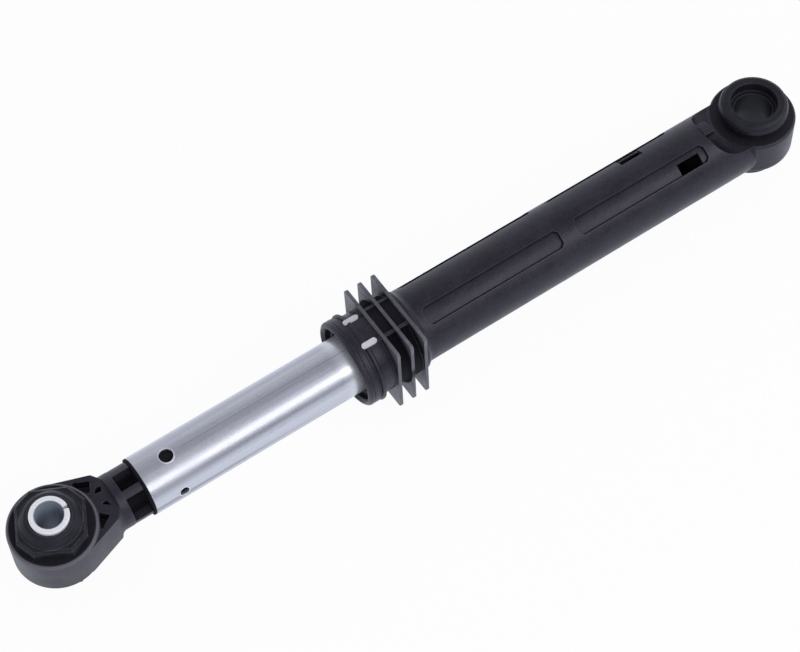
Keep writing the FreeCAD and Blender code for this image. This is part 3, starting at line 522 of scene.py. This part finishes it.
def plainMoulding(name, look):
    # tone: two shades by a fine noise; relief: the same noise
    mat, tree, shader = startMaterial(name)
    grain = noise(tree, objectPlace(tree), *look["grain"])
    base = mixTone(tree, ramp(tree, grain, *noiseSpan), look["dark"], look["light"])
    feed(tree, shader.inputs["Base Color"], base)
    feed(tree, shader.inputs["Roughness"], ramp(tree, grain, *noiseSpan, *look["rough"]))
    feed(tree, shader.inputs["Normal"], bump(tree, grain, look["grainHeight"]))
    return mat


lugLook = {"dark": tone(0.54, 0.535, 0.58), "light": tone(0.64, 0.635, 0.68), "rough": (0.35, 0.45),
           "grain": (1800, 3.0, 0.6), "grainHeight": 0.00002}
liningLook = {"dark": tone(0.16, 0.15, 0.13), "light": tone(0.30, 0.28, 0.25), "rough": (0.85, 0.95),
              "grain": (1300, 3.0, 0.6), "grainHeight": 0.0002}
guideLook = {"dark": tone(0.55, 0.55, 0.53), "light": tone(0.66, 0.66, 0.64), "rough": (0.40, 0.50),
             "grain": (1500, 3.0, 0.6), "grainHeight": 0.00002}


# Finishes on the nodes

finishes = {
    "housing": mouldedPlastic("housingPlastic", housingLook),
    "mouth_ring": mouldedPlastic("ringPlastic", ringLook),
    "rod_cap": mouldedPlastic("capPlastic", capLook),
    "rod_tube": drawnSteel("tubeSteel", tubeLook),
    "plunger_sleeve": turnedSteel("sleeveSteel", sleeveLook),
    "plunger_bush": mouldedRubber("plungerRubber", plungerRubberLook),
    "housing_bush": mouldedRubber("housingRubber", housingRubberLook),
    "lining_carrier": plainMoulding("lugPlastic", lugLook),
    "friction_lining": plainMoulding("liningFelt", liningLook),
    "guide_ring": plainMoulding("guidePlastic", guideLook),
}
for nodeName, mat in finishes.items():
    for materialSlot in nodes[nodeName].material_slots:
        materialSlot.material = mat
print("finishes set on", len(finishes), "nodes")


# Bright edges of the tube's holes

def makeGrid(name, points, closed=False):
    # grids of points, rows by columns, become one mesh of quads; closed grids join at both ends
    points = np.asarray(points)
    if points.ndim == 3:
        points = points[None]
    count, rows, columns = points.shape[:3]
    index = np.arange(count * rows * columns).reshape(count, rows, columns)
    if closed:
        index = np.concatenate([index, index[:, :1]], 1)
        index = np.concatenate([index, index[:, :, :1]], 2)
    corners = [index[:, :-1, :-1], index[:, 1:, :-1], index[:, 1:, 1:], index[:, :-1, 1:]]
    mesh = bpy.data.meshes.new(name)
    mesh.from_pydata(points.reshape(-1, 3).tolist(), [], np.stack(corners, -1).reshape(-1, 4).tolist())
    obj = bpy.data.objects.new(name, mesh)
    bpy.context.collection.objects.link(obj)
    return obj


# the oval's distance from the hole, its half width and its height, then the steps round both
rimLook = {"gap": 0.00022, "half": 0.00028, "proud": 0.00010, "around": 64, "across": 10}


def buildHoleRims():
    # a small oval runs round each hole: along = ring cos t, and ring sin t is wrapped on the tube
    # as the angle whose sine is its share of the tube's radius; the oval's height lifts the radius
    look = rimLook
    holes = [(turn + side, radius) for turn, radius in tubeHoles["holes"] for side in (0.0, math.pi)]
    angles, radii = np.array(holes).T
    angles = angles + plungerTurn
    t = np.linspace(0, 2 * math.pi, look["around"], endpoint=False)[None, :, None]
    s = np.linspace(0, 2 * math.pi, look["across"], endpoint=False)[None, None, :]
    reach = radii[:, None, None] + look["gap"] + look["half"] * np.cos(s)
    turn = angles[:, None, None] + np.arcsin(reach * np.sin(t) / tubeRadius)
    lift = tubeRadius + look["proud"] * np.sin(s) + 0 * turn
    x = tubeHoles["along"] + reach * np.cos(t) + 0 * turn
    points = np.stack([x, -lift * np.sin(turn), lift * np.cos(turn)], -1)
    rims = makeGrid("holeRims", points, closed=True)
    rims.data.materials.append(finishes["rod_tube"])
    rims.data.polygons.foreach_set("use_smooth", np.ones(len(rims.data.polygons), bool))
    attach(rims, "plunger_body")
    return rims


print("hole rims:", len(buildHoleRims().data.polygons), "faces")


# Floor, world, lamp and camera

floorLook = {
    "half": 4.0, "drop": 0.0001, "tone": tone(0.86, 0.86, 0.87), "rough": 0.6,
    "glow": 0.95, "seen": tone(1, 1, 1), "mirrored": tone(0.86, 0.90, 1.0),
}


def buildFloor():
    # flat sheet: x and y run over a square, z is just under the lowest point of the damper
    look = floorLook
    side = np.linspace(-look["half"], look["half"], 3)
    y, x = np.meshgrid(side, side)
    floor = makeGrid("floor", np.stack([x, y, np.full_like(x, cadBox[0][2] - look["drop"])], -1))
    mat, tree, shader = startMaterial("paleFloor")
    out = next(item for item in tree.nodes if item.type == "OUTPUT_MATERIAL")
    shader.inputs["Base Color"].default_value = look["tone"]
    shader.inputs["Roughness"].default_value = look["rough"]
    glow = tree.nodes.new("ShaderNodeEmission")
    ray = tree.nodes.new("ShaderNodeLightPath").outputs
    feed(tree, glow.inputs["Color"], mixTone(tree, ray["Is Glossy Ray"], look["seen"], look["mirrored"]))
    rays = strongest(tree, ray["Is Camera Ray"], ray["Is Glossy Ray"], ray["Is Transmission Ray"])
    blend = tree.nodes.new("ShaderNodeMixShader")
    tree.links.new(times(tree, rays, look["glow"]), blend.inputs[0])
    tree.links.new(shader.outputs[0], blend.inputs[1])
    tree.links.new(glow.outputs[0], blend.inputs[2])
    tree.links.new(blend.outputs[0], out.inputs["Surface"])
    floor.data.materials.append(mat)


# each fade: where it starts and ends, across (y) or upwards (z)
worldLook = {
    "low": tone(0.90, 0.92, 0.97), "high": tone(0.47, 0.475, 0.52), "gap": tone(0.36, 0.365, 0.40),
    "haze": tone(0.78, 0.79, 0.84), "strength": 0.95, "highUp": (0.25, 0.95),
    "gapAcross": (-0.35, -0.75), "gapUp": (0.42, 0.24), "hazeAcross": (-0.10, -0.45), "hazeUp": (0.6, 0.75),
}


def buildWorld():
    # pale studio: bright at the horizon, greyer overhead, hazy above the lamp and dim low in front
    look = worldLook
    world = bpy.data.worlds.new("studio")
    bpy.context.scene.world = world
    world.use_nodes = True
    tree = world.node_tree
    tree.nodes.clear()
    out = tree.nodes.new("ShaderNodeOutputWorld")
    back = tree.nodes.new("ShaderNodeBackground")
    coords = tree.nodes.new("ShaderNodeTexCoord")
    y, z = splitPlace(tree, coords.outputs["Generated"])[1:]
    sky = mixTone(tree, ramp(tree, z, *look["highUp"]), look["low"], look["high"])
    for part in ("haze", "gap"):
        mask = times(tree, ramp(tree, y, *look[part + "Across"]), ramp(tree, z, *look[part + "Up"]))
        sky = mixTone(tree, mask, sky, look[part])
    tree.links.new(sky, back.inputs["Color"])
    back.inputs["Strength"].default_value = look["strength"]
    tree.links.new(back.outputs[0], out.inputs["Surface"])


lampLook = {"toward": (0.27, -0.715, 0.645), "far": 0.9, "wide": 1.8, "tall": 0.38, "bright": 1.85}


def buildLamp(target):
    # a long soft box in front, as bright at any size
    look = lampLook
    lamp = bpy.data.lights.new("frontLamp", "AREA")
    lamp.shape = "RECTANGLE"
    lamp.size = look["wide"]
    lamp.size_y = look["tall"]
    lamp.energy = look["bright"] * math.pi * look["wide"] * look["tall"]
    obj = bpy.data.objects.new("frontLamp", lamp)
    toward = Vector(look["toward"]).normalized()
    obj.location = target + toward * look["far"]
    obj.rotation_euler = toward.to_track_quat("Z", "Y").to_euler()
    bpy.context.collection.objects.link(obj)


cameraLook = {
    "place": (-0.068139, -0.325726, 0.601744), "yaw": 58.952, "pitch": 57.544, "roll": -3.663,
    "lens": 99.164, "sensor": 36.0, "nearest": 0.01, "farthest": 50.0,
}


def buildCamera():
    # looks along yaw and pitch; the picture is turned by the roll
    look = cameraLook
    yaw, pitch, roll = (math.radians(look[key]) for key in ("yaw", "pitch", "roll"))
    ahead = Vector((math.cos(yaw) * math.cos(pitch), math.sin(yaw) * math.cos(pitch), -math.sin(pitch)))
    right = ahead.cross(Vector((0, 0, 1))).normalized()
    up = right.cross(ahead)
    side = right * math.cos(roll) + up * math.sin(roll)
    top = up * math.cos(roll) - right * math.sin(roll)
    camera = bpy.data.cameras.new("camera")
    camera.lens = look["lens"]
    camera.sensor_width = look["sensor"]
    camera.clip_start = look["nearest"]
    camera.clip_end = look["farthest"]
    obj = bpy.data.objects.new("camera", camera)
    obj.matrix_world = Matrix.Translation(look["place"]) @ Matrix((side, top, -ahead)).transposed().to_4x4()
    bpy.context.collection.objects.link(obj)
    bpy.context.scene.camera = obj


buildFloor()
buildWorld()
buildLamp(Vector((housingEyeX / 2, 0, 0)))
buildCamera()
bpy.context.scene.view_settings.view_transform = "Standard"
print("studio ready")
